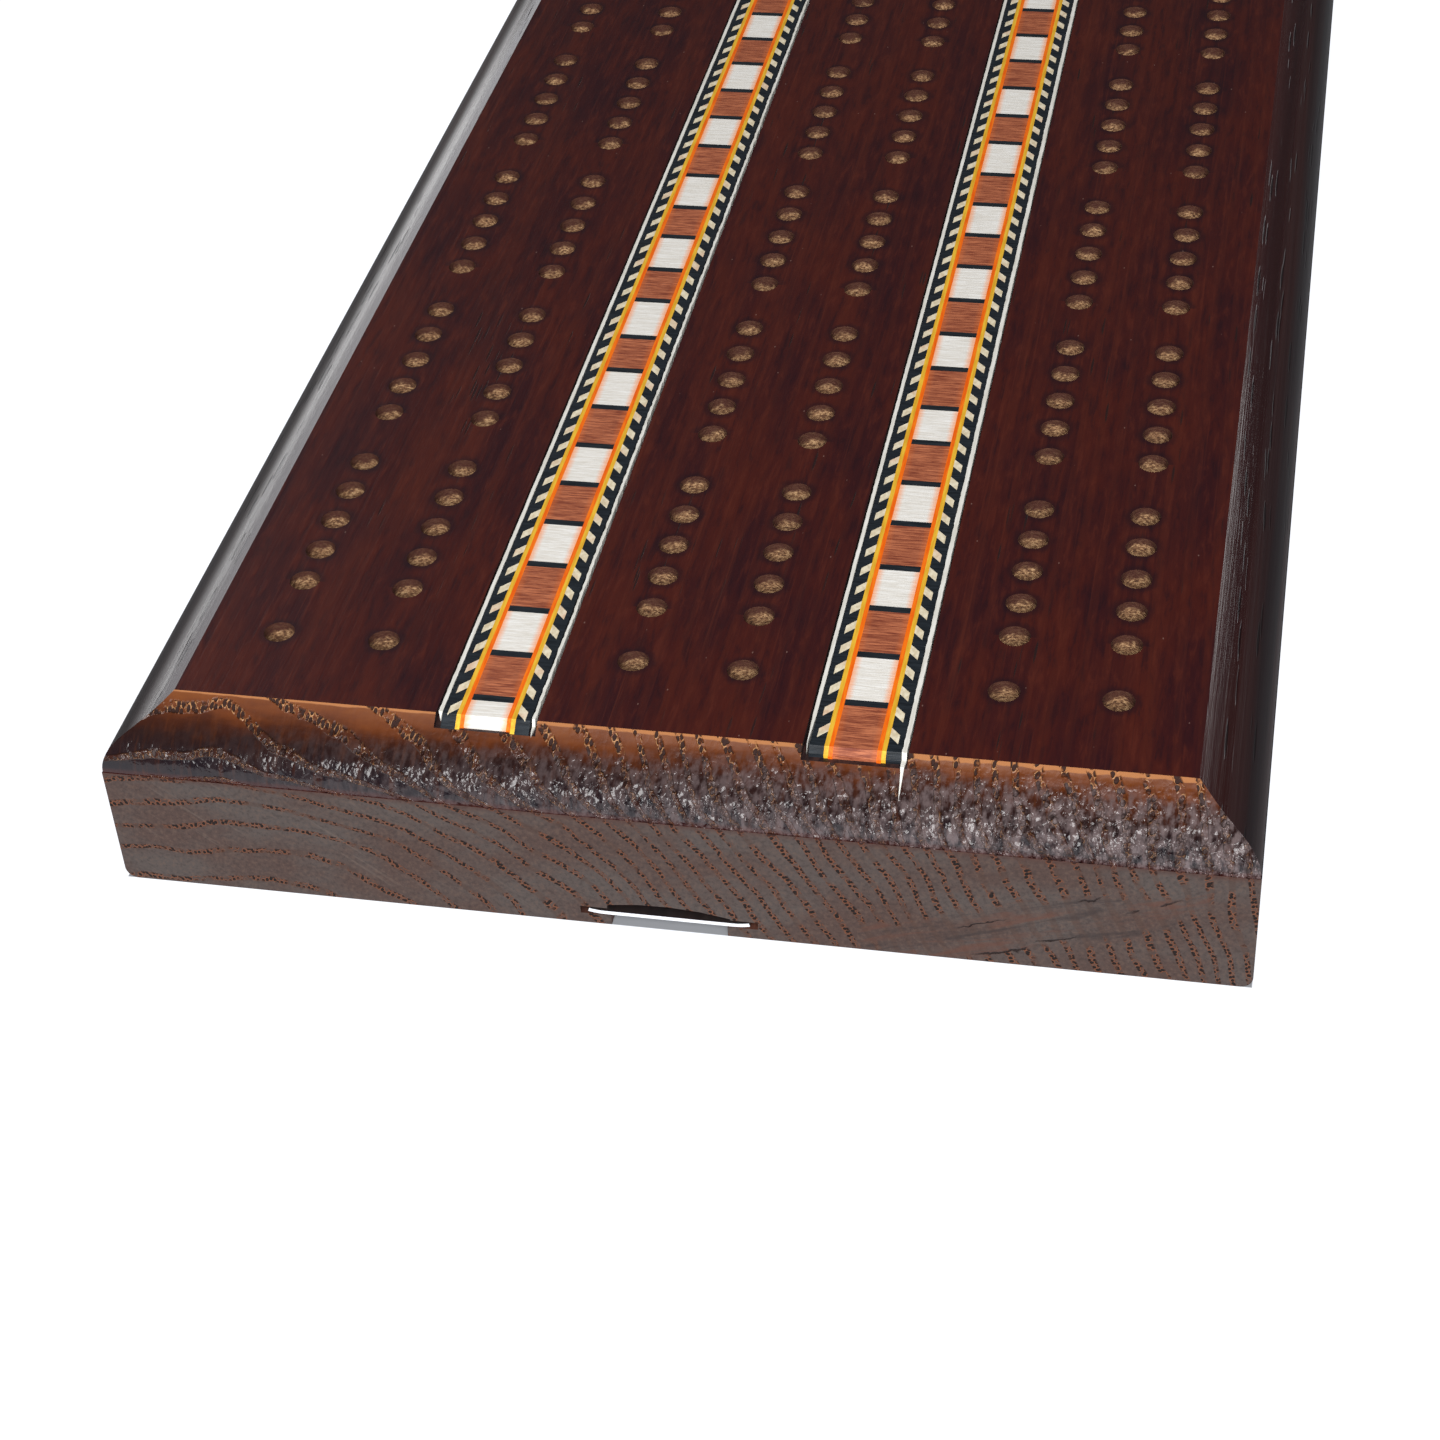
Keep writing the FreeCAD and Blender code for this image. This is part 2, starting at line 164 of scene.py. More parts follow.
# ==============================================================================
# node helpers
# ==============================================================================
class Nodes:
    """Short calls for building one material's node tree."""

    def __init__(self, name):
        self.material = bpy.data.materials.new(name)
        self.material.use_nodes = True
        self.tree = self.material.node_tree
        self.shader = self.tree.nodes["Principled BSDF"]

    def add(self, kind, **settings):
        """A new node with some of its settings changed."""
        node = self.tree.nodes.new(kind)
        for key, value in settings.items():
            setattr(node, key, value)
        return node

    def feed(self, socket, value):
        """Link a socket, or set a plain number, vector or colour; None leaves it alone."""
        if isinstance(value, bpy.types.NodeSocket):
            self.tree.links.new(value, socket)
        elif value is not None:
            socket.default_value = value

    def set(self, name, value):
        """Feed one of the shader's inputs."""
        self.feed(self.shader.inputs[name], value)

    # --- numbers ---
    def math(self, operation, a, b=None):
        node = self.add("ShaderNodeMath", operation=operation)
        self.feed(node.inputs[0], a)
        self.feed(node.inputs[1], b)
        return node.outputs[0]

    def add_up(self, *values):
        total = values[0]
        for value in values[1:]:
            total = self.math("ADD", total, value)
        return total

    def times(self, *values):
        product = values[0]
        for value in values[1:]:
            product = self.math("MULTIPLY", product, value)
        return product

    def less(self, a, b):
        """a minus b."""
        return self.math("SUBTRACT", a, b)

    def invert(self, value):
        return self.less(1.0, value)

    def size(self, value):
        """The value without its sign."""
        return self.math("ABSOLUTE", value)

    def hypotenuse(self, a, b):
        return self.math("SQRT", self.add_up(self.times(a, a), self.times(b, b)))

    def swing(self, value, reach):
        """A value from 0 to 1 turned into one from minus to plus half the reach."""
        return self.times(self.less(value, 0.5), reach)

    def smooth(self, value, low, high):
        """0 below low, 1 above high, eased between; low may be the larger."""
        node = self.add("ShaderNodeMapRange", interpolation_type="SMOOTHSTEP")
        swap = low > high
        self.feed(node.inputs["Value"], value)
        self.feed(node.inputs["From Min"], min(low, high))
        self.feed(node.inputs["From Max"], max(low, high))
        self.feed(node.inputs["To Min"], 1.0 if swap else 0.0)
        self.feed(node.inputs["To Max"], 0.0 if swap else 1.0)
        return node.outputs["Result"]

    # --- places ---
    def place(self):
        """Position on the object, in millimetres."""
        node = self.add("ShaderNodeTexCoord")
        return self.scaled(node.outputs["Object"], (1 / MM,) * 3)

    def split(self, vector):
        node = self.add("ShaderNodeSeparateXYZ")
        self.feed(node.inputs[0], vector)
        return node.outputs

    def join(self, *values):
        node = self.add("ShaderNodeCombineXYZ")
        for socket, value in zip(node.inputs, values):
            self.feed(socket, value)
        return node.outputs[0]

    def vector_math(self, operation, a, b):
        node = self.add("ShaderNodeVectorMath", operation=operation)
        self.feed(node.inputs[0], a)
        self.feed(node.inputs[1], b)
        return node.outputs[0]

    def scaled(self, vector, factors):
        """The vector with each axis multiplied by its own factor."""
        return self.vector_math("MULTIPLY", vector, factors)

    def shifted(self, vector, value):
        """The vector with one value added to each of its axes."""
        return self.vector_math("ADD", vector, value)

    # --- textures ---
    def noise(self, vector, scale, detail=2.0, roughness=0.5, distortion=0.0):
        """Soft noise from 0 to 1; scale is one number, or a number for each axis."""
        if isinstance(scale, tuple):
            vector, scale = self.scaled(vector, scale), 1.0
        node = self.add("ShaderNodeTexNoise")
        self.feed(node.inputs["Vector"], vector)
        self.feed(node.inputs["Scale"], scale)
        self.feed(node.inputs["Detail"], detail)
        self.feed(node.inputs["Roughness"], roughness)
        self.feed(node.inputs["Distortion"], distortion)
        return node.outputs["Fac"]

    def cells(self, vector, scale=1.0, randomness=1.0, flat=False):
        """Distance to the nearest of many scattered points; flat leaves out the third axis."""
        node = self.add("ShaderNodeTexVoronoi", voronoi_dimensions="2D" if flat else "3D")
        self.feed(node.inputs["Vector"], vector)
        self.feed(node.inputs["Scale"], scale)
        self.feed(node.inputs["Randomness"], randomness)
        return node.outputs["Distance"]

    # --- colours and surface ---
    def mix(self, factor, a, b):
        node = self.add("ShaderNodeMix", data_type="RGBA")
        self.feed(node.inputs["Factor"], factor)
        self.feed(node.inputs["A"], a)
        self.feed(node.inputs["B"], b)
        return node.outputs["Result"]

    def paint(self, under, colour, *shares):
        """One colour laid over another, as far as the product of the shares."""
        return self.mix(self.times(*shares), under, colour)

    def ramp(self, value, stops):
        """Colour ramp from (position, colour) pairs."""
        node = self.add("ShaderNodeValToRGB")
        self.feed(node.inputs[0], value)
        elements = node.color_ramp.elements
        while len(elements) < len(stops):
            elements.new(0.5)
        for element, (position, colour) in zip(elements, stops):
            element.position = position
            element.color = colour
        return node.outputs["Color"]

    def bump(self, height, depth):
        """Tilt the shading by a height; depth is what a height of 1 stands for, in millimetres."""
        node = self.add("ShaderNodeBump")
        self.feed(node.inputs["Strength"], 1.0)
        self.feed(node.inputs["Distance"], depth * MM)
        self.feed(node.inputs["Height"], height)
        self.set("Normal", node.outputs["Normal"])


def rgb(red, green, blue):
    """A display colour, 0 to 255, as a linear node colour."""
    def linear(value):
        v = value / 255
        return v / 12.92 if v <= 0.04045 else ((v + 0.055) / 1.055) ** 2.4
    return (linear(red), linear(green), linear(blue), 1.0)


# ==============================================================================
# oak: growth rings and grain
# ==============================================================================
class Rings:
    """Growth-ring coordinates of a point: how far into its ring it is, and the vessels there."""

    def __init__(self, n, place):
        self.n = n
        x, self.y, z = n.split(place)
        wander = n.noise(place, (0.045, 0.006, 0.045))
        jitter = n.noise(place, (0.5, 0.05, 0.5))
        dx = n.less(x, PITH_X)
        dz = n.less(z, PITH_Z)
        radius = n.hypotenuse(dx, dz)
        bent = n.add_up(radius, n.times(wander, RING_WANDER), n.times(jitter, RING_JITTER))
        core = n.math("DIVIDE", n.less(RING_CORE, bent), RING_OPENING)
        opening = n.math("EXPONENT", core)
        turns = n.math("DIVIDE", n.add_up(bent, n.times(opening, RING_OPENING)), FINE_RING)
        width = n.math("DIVIDE", FINE_RING, n.math("MAXIMUM", n.invert(opening), MOST_WIDENING))
        phase = n.math("FRACT", turns)
        self.into = n.times(phase, width)
        self.number = n.math("FLOOR", turns)
        start = n.less(bent, self.into)
        self.around = n.times(n.math("ARCTAN2", dz, dx), start)
        # 1 in the porous early wood at the start of each ring
        self.early = n.times(
            n.smooth(phase, 0.0, 0.04),
            n.smooth(self.into, PORE_BAND, PORE_BAND * 0.75),
        )

    def vessel(self, stretch=0.0):
        """Distance to the nearest vessel, in pitches. Vessels run without end if stretch is 0."""
        n = self.n
        around = n.add_up(self.around, n.times(self.number, RING_SHIFT))
        place = n.join(self.into, around, n.times(self.y, stretch))
        return n.cells(place, 1 / PORE_PITCH, PORE_SCATTER, flat=stretch == 0)

    def open_pores(self, stretch):
        """1 in the pores of long grain, which show as dashes along the board."""
        return self.n.times(self.n.smooth(self.vessel(stretch), 0.34, 0.22), self.early)


def streaks(n, place):
    """Long soft stripes along the board, fine ones and broad ones."""
    fine = n.noise(place, (2.6, 0.03, 2.6), 4.0, 0.65)
    broad = n.noise(place, (0.32, 0.006, 0.32), 3.0, 0.55, 0.4)
    return fine, broad


# ==============================================================================
# oak: the top
# ==============================================================================
def varnish_pool(n, place):
    """1 where varnish has run in a dark ring round a peg hole, from the holes' regular rows."""
    x, y, _ = n.split(place)
    from_row = None
    for row in HOLE_ROWS:
        gap = n.size(n.less(x, row))
        from_row = gap if from_row is None else n.math("MINIMUM", from_row, gap)
    in_group = n.math("FLOORED_MODULO", n.less(y, FIRST_GROUP), GROUP_STEP)
    hole = n.math("ROUND", n.math("DIVIDE", in_group, HOLE_STEP))
    hole = n.math("MINIMUM", hole, GROUP_SIZE - 1.0)
    from_grouped = n.size(n.less(in_group, n.times(hole, HOLE_STEP)))
    from_single = n.size(n.less(n.size(y), SINGLE_HOLE))
    at_end = n.math("GREATER_THAN", n.size(y), HOLE_STEP / 2 - FIRST_GROUP)
    from_hole = n.add_up(n.times(from_single, at_end), n.times(from_grouped, n.invert(at_end)))
    away = n.hypotenuse(from_row, from_hole)
    ragged = n.noise(place, (0.9, 0.4, 0.9), 3.0, 0.6)
    edge = n.add_up(1.1, n.times(ragged, 1.5))
    return n.smooth(n.less(away, edge), 0.6, -0.3)


def oak_top():
    """Quiet dark red-brown figure under a thin varnish."""
    n = Nodes("oak_top")
    place = n.place()
    rings = Rings(n, place)
    fine, broad = streaks(n, place)
    open_grain = n.smooth(n.noise(place, (0.4, 0.05, 0.4)), 0.5, 0.62)
    pit = n.times(n.smooth(rings.vessel(0.07), 0.3, 0.18), rings.early, open_grain)
    blotch = n.noise(place, (0.16, 0.05, 0.16), 4.0, 0.6)
    mottle = n.noise(place, (1.3, 0.22, 1.3), 4.0, 0.65, 0.3)
    speck = n.smooth(n.cells(n.scaled(place, (0.5, 0.25, 0.5))), 0.045, 0.02)
    wood = n.mix(n.smooth(blotch, 0.34, 0.68), rgb(48, 16, 20), rgb(66, 22, 17))
    wood = n.paint(wood, rgb(78, 29, 19), n.smooth(broad, 0.4, 0.72), 0.5)
    wood = n.paint(wood, rgb(86, 36, 25), n.smooth(mottle, 0.5, 0.72), 0.5)
    wood = n.paint(wood, rgb(30, 12, 20), n.smooth(mottle, 0.5, 0.3), 0.55)
    wood = n.paint(wood, rgb(100, 44, 28), n.smooth(fine, 0.55, 0.75), 0.3)
    wood = n.paint(wood, rgb(28, 11, 18), n.smooth(fine, 0.45, 0.25), 0.3)
    wood = n.paint(wood, rgb(90, 40, 25), rings.early, 0.12)
    wood = n.paint(wood, rgb(20, 8, 9), pit, 0.8)
    wood = n.paint(wood, rgb(22, 12, 21), varnish_pool(n, place), 0.5)
    wood = n.paint(wood, rgb(150, 120, 110), speck, 0.45)
    n.set("Base Color", wood)
    n.set("Roughness", n.add_up(0.32, n.times(fine, 0.14), n.times(pit, 0.4)))
    n.set("Specular IOR Level", 0.25)
    n.bump(n.add_up(n.times(fine, 0.5), n.times(mottle, 0.4), n.times(pit, -0.3)), 0.04)
    return n.material


# ==============================================================================
# oak: the moulded edge
# ==============================================================================
def rough_varnish(n, place):
    """Lumpy varnish over torn end grain: rounded lumps, taller than wide, on a finer roughness."""
    wander = n.noise(place, 1.3)
    apart = n.cells(n.shifted(n.scaled(place, (2.5, 1.5, 1.5)), wander))
    fine = n.noise(place, (3.6, 2.4, 2.4), 2.0, 0.6)
    patches = n.smooth(n.noise(place, 0.5), 0.4, 0.6)
    broad = n.noise(place, 0.8, 1.0)
    small = n.less(n.times(fine, 0.8), n.times(apart, apart, 1.5))
    return n.add_up(n.times(small, n.add_up(0.3, n.times(patches, 0.9))), n.times(broad, 3.2))


def torn_vessels(n, place, rings):
    """Vessels torn open on the moulded end grain: their dark pits and broken pale rims."""
    vessel = rings.vessel()
    shown = n.times(rings.early, n.smooth(n.noise(place, 0.9), 0.36, 0.5))
    pit = n.times(n.smooth(vessel, 0.44, 0.34), shown)
    broken = n.smooth(n.noise(place, 3.0), 0.42, 0.58)
    rim = n.times(n.smooth(vessel, 0.66, 0.5), n.smooth(vessel, 0.34, 0.44), shown, broken)
    return pit, rim


def bevel_stain(n, out, blotch):
    """Amber where the moulding starts, darkening unevenly on its way down."""
    down = n.add_up(out, n.swing(blotch, 3.4))
    return n.ramp(n.math("DIVIDE", down, BEVEL_RUN), [
        (0.0, rgb(110, 56, 12)),
        (0.18, rgb(94, 44, 10)),
        (0.36, rgb(64, 29, 14)),
        (0.62, rgb(38, 21, 19)),
        (1.0, rgb(20, 14, 20)),
    ])


def worn_edge(n, place, out, rightward):
    """1 on the rubbed edge beside the top, which is wider to the right."""
    patchy = n.noise(place, 0.35, 3.0)
    width = n.add_up(0.02, n.times(patchy, n.add_up(0.2, n.times(rightward, 0.45))))
    return n.smooth(n.less(out, width), 0.06, -0.04)


def oak_end_bevel():
    """Moulded end grain: amber beside the top, dark and lumpy with varnish lower down, with a
    painted highlight haze on the lower right.
    """
    n = Nodes("oak_end_bevel")
    place = n.place()
    x, y, _ = n.split(place)
    out = n.less(n.size(y), FLAT_Y / MM)
    rightward = n.smooth(x, -60.0, 55.0)
    rings = Rings(n, place)
    pit, rim = torn_vessels(n, place, rings)
    blotch = n.noise(place, (0.2, 0.5, 0.5), 3.0, 0.6)
    lower = n.smooth(n.add_up(out, n.times(rightward, 0.9), n.times(blotch, 1.6)), 2.0, 4.4)
    cross = n.noise(place, (1.6, 0.25, 0.25), 3.0, 0.6)
    # patches where the painted highlight haze is laid on, further down
    painted_glint_patches = n.smooth(n.noise(place, (1.6, 0.8, 0.8), 3.0, 0.6), 0.35, 0.65)
    wear = n.times(worn_edge(n, place, out, rightward), n.invert(pit))
    lip = n.smooth(out, BEVEL_RUN - 0.12, BEVEL_RUN - 0.03)
    wood = bevel_stain(n, out, blotch)
    wood = n.paint(wood, rgb(128, 68, 26), n.smooth(cross, 0.48, 0.72), 0.1)
    wood = n.paint(wood, rgb(98, 52, 28), rings.early, 0.22)
    wood = n.paint(wood, rgb(192, 142, 96), rim, n.add_up(0.75, n.times(lower, -0.5)))
    wood = n.paint(wood, rgb(36, 11, 5), pit, 0.95)
    # painted highlight: a grey haze over the lower right of the moulding stands in for varnish
    # glints too fine to render
    wood = n.paint(wood, rgb(112, 98, 98), lower, rightward, painted_glint_patches, 0.75)
    wood = n.paint(wood, rgb(172, 114, 68), wear, 0.75)
    wood = n.paint(wood, rgb(84, 30, 17), lip, 0.6)
    n.set("Base Color", wood)
    n.set("Roughness", n.add_up(0.4, n.times(lower, -0.24), n.times(n.add_up(pit, wear), 0.4)))
    n.set("Specular IOR Level", 0.4)
    at_lip = n.smooth(out, BEVEL_RUN - 1.8, BEVEL_RUN)
    lively = n.add_up(0.08, n.times(rightward, n.add_up(0.5, at_lip)), n.times(rings.early, 0.5))
    lumps = n.times(rough_varnish(n, place), n.add_up(0.1, lower), lively)
    n.bump(n.add_up(lumps, n.times(pit, -0.7), n.times(rim, 0.3)), 0.2)
    return n.material


def oak_side_bevel():
    """Moulded long grain, thickly varnished."""
    n = Nodes("oak_side_bevel")
    place = n.place()
    x, _, _ = n.split(place)
    out = n.less(n.size(x), FLAT_X / MM)
    fine, broad = streaks(n, place)
    pit = Rings(n, place).open_pores(0.05)
    wood = n.ramp(n.math("DIVIDE", out, BEVEL_RUN), [
        (0.0, rgb(50, 19, 19)),
        (0.35, rgb(32, 13, 15)),
        (1.0, rgb(13, 8, 12)),
    ])
    wood = n.paint(wood, rgb(62, 26, 20), n.smooth(broad, 0.4, 0.75), 0.35)
    wood = n.paint(wood, rgb(12, 7, 9), pit, 0.8)
    n.set("Base Color", wood)
    n.set("Roughness", n.add_up(0.12, n.times(n.smooth(out, 2.0, 4.6), 0.55), n.times(fine, 0.12)))
    n.set("Specular IOR Level", 0.2)
    n.bump(n.add_up(n.times(fine, 0.6), n.times(pit, -1.2), n.times(broad, 0.8)), 0.05)
    return n.material


# ==============================================================================
# oak: the upright faces
# ==============================================================================
def cracks(n, place):
    """A few slanting shakes beside a knot, low on the right of an end face."""
    x, _, z = n.split(place)
    total = None
    for start_x, start_z, slope, reach, width in SHAKES:
        along = n.less(x, start_x)
        line = n.add_up(start_z, n.times(along, slope))
        ragged = n.noise(place, 0.5 * (1.0 + width), 4.0, 0.6)
        gap = n.less(n.less(z, line), n.swing(ragged, 1.5))
        thin = n.smooth(n.size(gap), width, width * 0.4)
        shown = n.times(
            thin,
            n.smooth(along, 0.0, reach * 0.3),
            n.smooth(along, reach, reach * 0.6),
        )
        total = shown if total is None else n.math("MAXIMUM", total, shown)
    return n.times(total, n.smooth(n.noise(place, 0.6), 0.34, 0.44))


def in_knot(n, place):
    """1 inside the knot on an end face, where the rings' vessels are crowded out."""
    x, _, z = n.split(place)
    middle_x, middle_z, slope, half_length, half_width = KNOT
    along = n.less(x, middle_x)
    up = n.less(n.less(z, middle_z), n.times(along, slope))
    reach = n.hypotenuse(n.math("DIVIDE", along, half_length), n.math("DIVIDE", up, half_width))
    ragged = n.noise(place, 0.3, 3.0)
    return n.smooth(n.add_up(reach, n.swing(ragged, 1.2)), 1.05, 0.85)


def knot_swirl(n, place):
    """Streaks along the knot's slope."""
    x, _, z = n.split(place)
    level = n.less(z, n.times(x, KNOT[2]))
    return n.noise(n.join(x, level), (0.12, 0.9, 0.9), 4.0, 0.6, 0.6)


def saw_marks(n, place):
    """Fine parallel marks that lean over an end face."""
    x, _, z = n.split(place)
    lean_x, lean_z = SAW_LEAN
    across = n.add_up(n.times(x, lean_x), n.times(z, lean_z))
    along = n.less(n.times(x, lean_z), n.times(z, lean_x))
    return n.noise(n.join(across, along), (1.6, 0.06, 0.06), 3.0, 0.6)


def oak_end_face():
    """Sawn and sanded end grain under a thin grey varnish."""
    n = Nodes("oak_end_face")
    place = n.place()
    x, _, z = n.split(place)
    rings = Rings(n, place)
    vessel = rings.vessel()
    knot = in_knot(n, place)
    patchy = n.smooth(n.noise(place, 0.45, 3.0), 0.38, 0.48)
    shown = n.times(rings.early, patchy, n.invert(knot))
    pit = n.times(n.smooth(vessel, 0.4, 0.3), shown)
    rim = n.times(n.smooth(vessel, 0.6, 0.46), shown)
    haze = n.noise(place, (0.1, 0.1, 0.16), 4.0, 0.6)
    fibre = n.noise(place, 2.4, 3.0, 0.7)
    swirl = knot_swirl(n, place)
    split = cracks(n, place)
    sawn = n.smooth(saw_marks(n, place), 0.6, 0.7)
    leftward = n.smooth(x, 10.0, -45.0)
    under_lip = n.smooth(z, LIP / MM - 0.7, LIP / MM)
    wood = n.mix(n.smooth(haze, 0.35, 0.65), rgb(66, 50, 45), rgb(69, 61, 58))
    wood = n.paint(wood, rgb(88, 70, 60), n.smooth(fibre, 0.5, 0.68), 0.45)
    wood = n.paint(wood, rgb(44, 34, 31), n.smooth(fibre, 0.5, 0.34), 0.45)
    wood = n.paint(wood, rgb(62, 42, 33), rings.early, 0.35)
    wood = n.paint(wood, rgb(82, 50, 38), n.smooth(swirl, 0.5, 0.7), knot, 0.6)
    wood = n.paint(wood, rgb(38, 31, 31), n.smooth(swirl, 0.5, 0.32), knot, 0.6)
    wood = n.paint(wood, rgb(118, 66, 36), rim, 0.6)
    wood = n.paint(wood, rgb(14, 5, 3), pit)
    wood = n.paint(wood, rgb(24, 9, 6), split, 0.95)
    wood = n.paint(wood, rgb(122, 109, 99), sawn, leftward, 0.16)
    wood = n.paint(wood, rgb(66, 34, 24), under_lip, 0.4)
    n.set("Base Color", wood)
    n.set("Roughness", 0.55)
    n.set("Specular IOR Level", 0.2)
    n.bump(n.add_up(n.times(fibre, 0.25), n.times(pit, -1.0), n.times(split, -1.2)), 0.1)
    return n.material


def oak_side_face():
    """Upright long grain, stained like the top."""
    n = Nodes("oak_side_face")
    place = n.place()
    fine, broad = streaks(n, place)
    pit = Rings(n, place).open_pores(0.05)
    wood = n.mix(n.smooth(broad, 0.35, 0.7), rgb(50, 22, 22), rgb(74, 34, 27))
    wood = n.paint(wood, rgb(98, 54, 38), n.smooth(fine, 0.5, 0.72), 0.4)
    wood = n.paint(wood, rgb(22, 12, 11), pit, 0.8)
    n.set("Base Color", wood)
    n.set("Roughness", n.add_up(0.32, n.times(fine, 0.12)))
    n.bump(n.add_up(n.times(fine, 0.6), n.times(pit, -1.2)), 0.04)
    return n.material


# ==============================================================================
# oak: holes, grooves and underside
# ==============================================================================
def oak_drilled():
    """Inside the peg holes: stained at the mouth, raw torn fibre below."""
    n = Nodes("oak_drilled")
    place = n.place()
    _, _, z = n.split(place)
    fibre = n.noise(place, (2.8, 1.6, 5.0), 4.0, 0.7)
    clump = n.noise(place, 0.5, 3.0, 0.6)
    depth = n.less(TOP / MM, z)
    stained = n.smooth(n.less(depth, n.add_up(0.75, n.swing(clump, 2.2))), 0.4, -0.2)
    wood = n.ramp(n.smooth(fibre, 0.3, 0.72), [
        (0.0, rgb(66, 37, 23)),
        (0.45, rgb(136, 97, 66)),
        (1.0, rgb(206, 168, 124)),
    ])
    n.set("Base Color", n.paint(wood, rgb(66, 24, 12), stained, 0.92))
    n.set("Roughness", 0.75)
    n.bump(fibre, 0.16)
    return n.material


def oak_groove():
    """The strips' grooves: glue and stain that has run down beside the veneers."""
    n = Nodes("oak_groove")
    smear = n.noise(n.place(), (1.5, 0.6, 1.5), 3.0, 0.6)
    n.set("Base Color", n.mix(n.smooth(smear, 0.35, 0.65), rgb(26, 12, 17), rgb(58, 36, 32)))
    n.set("Roughness", 0.5)
    n.bump(smear, 0.06)
    return n.material


def oak_underside():
    """Flat stained underside and the milled slot, with little varnish."""
    n = Nodes("oak_underside")
    place = n.place()
    fine, broad = streaks(n, place)
    pit = Rings(n, place).open_pores(0.06)
    wood = n.mix(n.smooth(broad, 0.35, 0.7), rgb(60, 33, 27), rgb(82, 46, 34))
    wood = n.paint(wood, rgb(112, 70, 48), n.smooth(fine, 0.45, 0.7), 0.4)
    wood = n.paint(wood, rgb(30, 16, 13), pit, 0.8)
    n.set("Base Color", wood)
    n.set("Roughness", 0.6)
    n.bump(n.add_up(n.times(fine, 0.7), n.times(pit, -1.2)), 0.05)
    return n.material


def board_surface(centre, normal):
    """The oak that a face of the board shows, from where it is and how it faces."""
    within = abs(centre.x) < FLAT_X - TINY and abs(centre.y) < FLAT_Y - TINY
    level = normal.z > SQUARE_ON
    if level and centre.z > TOP - TINY:
        return oak_top
    if normal.z < DOWNWARD or centre.z < TOP / 2 and within:
        return oak_underside
    if centre.z > STRIP_FLOOR - TINY and (level or abs(normal.x) > SQUARE_ON):
        return oak_groove
    if within:
        return oak_drilled
    lengthways = HALF_LENGTH - abs(centre.y) < HALF_WIDTH - abs(centre.x)
    if centre.z > LIP - TINY:
        return oak_end_bevel if lengthways else oak_side_bevel
    return oak_end_face if lengthways else oak_side_face


def dress_board():
    """Give every face of the board the oak it shows."""
    kinds = [
        oak_top,
        oak_end_bevel,
        oak_side_bevel,
        oak_end_face,
        oak_side_face,
        oak_drilled,
        oak_groove,
        oak_underside,
    ]
    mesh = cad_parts["board"].data
    mesh.materials.clear()
    for make in kinds:
        mesh.materials.append(make())
    for face in mesh.polygons:
        face.material_index = kinds.index(board_surface(face.center, face.normal))


# ==============================================================================
# marquetry
# ==============================================================================
def veneer(name, low, high, grain, roughness=0.42, stain=None):
    """Sanded veneer between two tones; grain gives the figure's scale on each axis."""
    n = Nodes(name)
    place = n.place()
    figure = n.noise(place, grain, 4.0, 0.65)
    wood = n.mix(n.smooth(figure, 0.32, 0.68), low, high)
    if stain is not None:
        mottle = n.noise(place, 0.35)
        wood = n.paint(wood, stain, n.smooth(mottle, 0.5, 0.75), 0.5)
    n.set("Base Color", wood)
    n.set("Roughness", roughness)
    n.set("Specular IOR Level", 0.25)
    n.bump(figure, 0.03)
    return n.material


def bled_veneer(name, side, low, high, bleed, amount):
    """Centre tile wood that has taken up some orange dye along its two long edges."""
    n = Nodes(name)
    place = n.place()
    x, _, _ = n.split(place)
    low_corner, high_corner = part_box(f"{side}_inlay_black_bars")
    middle = (low_corner.x + high_corner.x) / 2 / MM
    half = (high_corner.x - low_corner.x) / 2 / MM
    from_edge = n.less(half, n.size(n.less(x, middle)))
    figure = n.noise(place, (0.35, 5.0, 5.0), 4.0, 0.7)
    band = n.noise(place, (0.08, 2.2, 2.2), 3.0, 0.6)
    seep = n.smooth(n.add_up(from_edge, n.swing(figure, 0.5)), 0.75, 0.0)
    wood = n.mix(n.smooth(figure, 0.34, 0.66), low, high)
    wood = n.paint(wood, low, n.smooth(band, 0.5, 0.64), 0.45)
    wood = n.paint(wood, bleed, seep, amount)
    n.set("Base Color", wood)
    n.set("Roughness", 0.5)
    n.set("Specular IOR Level", 0.25)
    n.bump(figure, 0.05)
    return n.material


def white_tile(side):
    """Pale tiles, clearly dyed orange at their edges."""
    low, high, bleed = rgb(222, 216, 206), rgb(244, 242, 238), rgb(252, 160, 96)
    return bled_veneer(f"white_tile_{side}", side, low, high, bleed, 0.7)


def brown_tile(side):
    """Red-brown tiles, on which the orange shows less."""
    low, high, bleed = rgb(118, 54, 38), rgb(196, 118, 82), rgb(226, 110, 40)
    return bled_veneer(f"brown_tile_{side}", side, low, high, bleed, 0.3)


def use(node, material):
    """Give a carried-over CAD node one material."""
    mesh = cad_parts[node].data
    mesh.materials.clear()
    mesh.materials.append(material)


def dress_strips():
    """Give both marquetry strips their veneers."""
    lengthways = (3.0, 0.3, 3.0)
    black = veneer("black_dyed", rgb(20, 25, 30), rgb(38, 44, 50), (0.3, 3.0, 3.0), 0.4)
    orange = veneer("orange_dyed", rgb(232, 92, 8), rgb(250, 124, 20), lengthways)
    yellow = veneer("yellow_dyed", rgb(214, 160, 40), rgb(238, 190, 60), lengthways)
    blush = rgb(222, 170, 140)
    cream = veneer("cream", rgb(206, 190, 158), rgb(236, 226, 200), (2.0, 1.2, 2.0), stain=blush)
    white = veneer("white_line", rgb(214, 210, 200), rgb(236, 234, 228), (3.0, 0.25, 3.0))
    torn_white_lines(white)
    for side in SIDES:
        use(f"{side}_inlay_black_bars", black)
        use(f"{side}_inlay_black_combs", black)
        use(f"{side}_inlay_orange_lines", orange)
        use(f"{side}_inlay_yellow_lines", yellow)
        use(f"{side}_inlay_cream_slats", cream)
        use(f"{side}_inlay_white_tiles", white_tile(side))
        use(f"{side}_inlay_brown_tiles", brown_tile(side))


